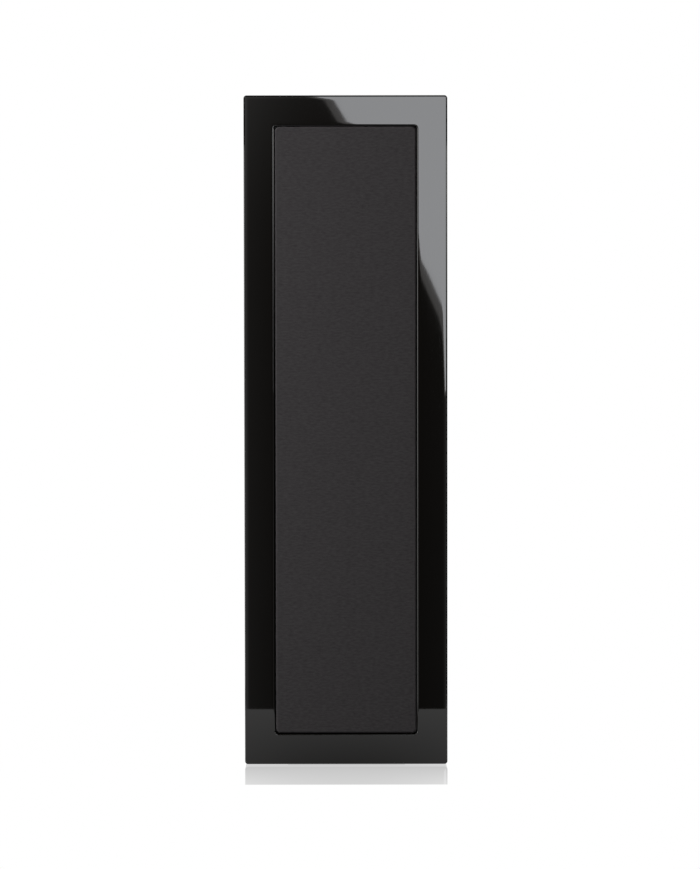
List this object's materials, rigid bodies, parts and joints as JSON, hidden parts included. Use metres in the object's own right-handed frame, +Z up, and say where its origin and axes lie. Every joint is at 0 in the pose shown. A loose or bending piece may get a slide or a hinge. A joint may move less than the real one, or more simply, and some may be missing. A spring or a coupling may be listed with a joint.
{
  "type": "floorstanding speaker",
  "caption": "Tall slim gloss black cabinet with a picture-frame front, a lift-off cloth grille over its drivers, a rear port and binding posts.",
  "frame": {"origin": "on the floor, under the middle of the cabinet", "axes": "+Z up, front of the cabinet towards -Y, +X to the right seen from the front"},
  "size_m": [0.303, 0.28, 1],
  "materials": {
    "gloss_lacquer": "high gloss black lacquer on fibreboard",
    "satin_black": "satin black paint on fibreboard",
    "bare_board": "bare fibreboard",
    "black_rubber": "matt",
    "grille_cloth": "woven acoustic cloth, matt charcoal",
    "black_plastic": "fine grained moulding",
    "cast_basket": "cast, black powder coat",
    "plated_steel": "zinc plated",
    "ferrite": "matt dark grey",
    "copper_coil": "enamelled copper wire",
    "spider_cloth": "resin-dipped weave",
    "cone_paper": "coated pulp, satin black",
    "surround_rubber": "satin",
    "tweeter_plate": "satin black anodised",
    "dome_silk": "coated silk",
    "gold_plate": "gold plated",
    "red_knob": "gloss red",
    "black_knob": "gloss black",
    "circuit_board": "green solder mask",
    "capacitor_film": "yellow film wrap",
    "cable_jacket": "soft jacket",
    "wadding": "lofty polyester fibre"
  },
  "bodies": {
    "cabinet": {"front_frame": "gloss_lacquer", "cabinet_shell": "gloss_lacquer", "back_panel": "satin_black", "baffle": "satin_black", "brace_upper": "bare_board", "brace_lower": "bare_board", "foot_strip_front": "black_rubber", "foot_strip_rear": "black_rubber", "grille_socket_1": "black_rubber", "grille_socket_2": "black_rubber", "grille_socket_3": "black_rubber", "grille_socket_4": "black_rubber", "port_tube": "black_plastic", "terminal_cup": "black_plastic", "tweeter_chamber": "black_plastic", "mid_enclosure": "black_plastic", "woofer_upper_basket": "cast_basket", "woofer_upper_top_plate": "plated_steel", "woofer_upper_yoke": "plated_steel", "woofer_upper_magnet": "ferrite", "woofer_upper_spider": "spider_cloth", "woofer_upper_surround": "surround_rubber", "woofer_lower_basket": "cast_basket", "woofer_lower_top_plate": "plated_steel", "woofer_lower_yoke": "plated_steel", "woofer_lower_magnet": "ferrite", "woofer_lower_spider": "spider_cloth", "woofer_lower_surround": "surround_rubber", "mid_basket": "cast_basket", "mid_top_plate": "plated_steel", "mid_yoke": "plated_steel", "mid_magnet": "ferrite", "mid_spider": "spider_cloth", "mid_surround": "surround_rubber", "tweeter_faceplate": "tweeter_plate", "tweeter_motor": "plated_steel", "post_positive_stem": "gold_plate", "post_negative_stem": "gold_plate", "crossover_board": "circuit_board", "crossover_bass_coil": "copper_coil", "crossover_treble_coil": "copper_coil", "crossover_bass_capacitor": "capacitor_film", "crossover_treble_capacitor": "capacitor_film", "wiring_harness": "cable_jacket", "wadding": "wadding"},
    "grille": {"grille_cloth": "grille_cloth", "grille_frame": "black_plastic"},
    "woofer_upper_diaphragm": {"woofer_upper_cone": "cone_paper", "woofer_upper_dust_cap": "cone_paper", "woofer_upper_voice_coil": "copper_coil"},
    "woofer_lower_diaphragm": {"woofer_lower_cone": "cone_paper", "woofer_lower_dust_cap": "cone_paper", "woofer_lower_voice_coil": "copper_coil"},
    "mid_diaphragm": {"mid_cone": "cone_paper", "mid_voice_coil": "copper_coil"},
    "tweeter_diaphragm": {"tweeter_dome": "dome_silk"},
    "post_positive_clamp": {"post_positive_clamp_ring": "gold_plate"},
    "post_positive_grip": {"post_positive_knob": "red_knob"},
    "post_negative_clamp": {"post_negative_clamp_ring": "gold_plate"},
    "post_negative_grip": {"post_negative_knob": "black_knob"}
  },
  "joints": [
    {"name": "grille_slide", "type": "slide", "parent": "cabinet", "child": "grille", "axis": [0, -1, 0], "range_m": [0, 0.15]},
    {"name": "woofer_upper_travel", "type": "slide", "parent": "cabinet", "child": "woofer_upper_diaphragm", "axis": [0, -1, 0], "range_m": [-0.005, 0.005], "stiffness_N_per_m": 1000, "deforming": ["woofer_upper_surround", "woofer_upper_spider"]},
    {"name": "woofer_lower_travel", "type": "slide", "parent": "cabinet", "child": "woofer_lower_diaphragm", "axis": [0, -1, 0], "range_m": [-0.005, 0.005], "stiffness_N_per_m": 1000, "deforming": ["woofer_lower_surround", "woofer_lower_spider"]},
    {"name": "mid_travel", "type": "slide", "parent": "cabinet", "child": "mid_diaphragm", "axis": [0, -1, 0], "range_m": [-0.0015, 0.0015], "stiffness_N_per_m": 1000, "deforming": ["mid_surround", "mid_spider"]},
    {"name": "tweeter_travel", "type": "slide", "parent": "cabinet", "child": "tweeter_diaphragm", "axis": [0, -1, 0], "range_m": [-0.0003, 0.0003], "stiffness_N_per_m": 1500},
    {"name": "post_positive_lift", "type": "slide", "parent": "cabinet", "child": "post_positive_clamp", "axis": [0, 1, 0], "range_m": [0, 0.004]},
    {"name": "post_positive_turn", "type": "hinge", "parent": "post_positive_clamp", "child": "post_positive_grip", "pos_m": [0.014, 0.12, 0.125], "axis": [0, 1, 0], "range_deg": [0, 1800]},
    {"name": "post_negative_lift", "type": "slide", "parent": "cabinet", "child": "post_negative_clamp", "axis": [0, 1, 0], "range_m": [0, 0.004]},
    {"name": "post_negative_turn", "type": "hinge", "parent": "post_negative_clamp", "child": "post_negative_grip", "pos_m": [-0.014, 0.12, 0.125], "axis": [0, 1, 0], "range_deg": [0, 1800]}
  ],
  "couplings": [
    {"joint": "post_positive_lift", "follows": "post_positive_turn", "m_per_rad": 0.00012732},
    {"joint": "post_negative_lift", "follows": "post_negative_turn", "m_per_rad": 0.00012732}
  ]
}
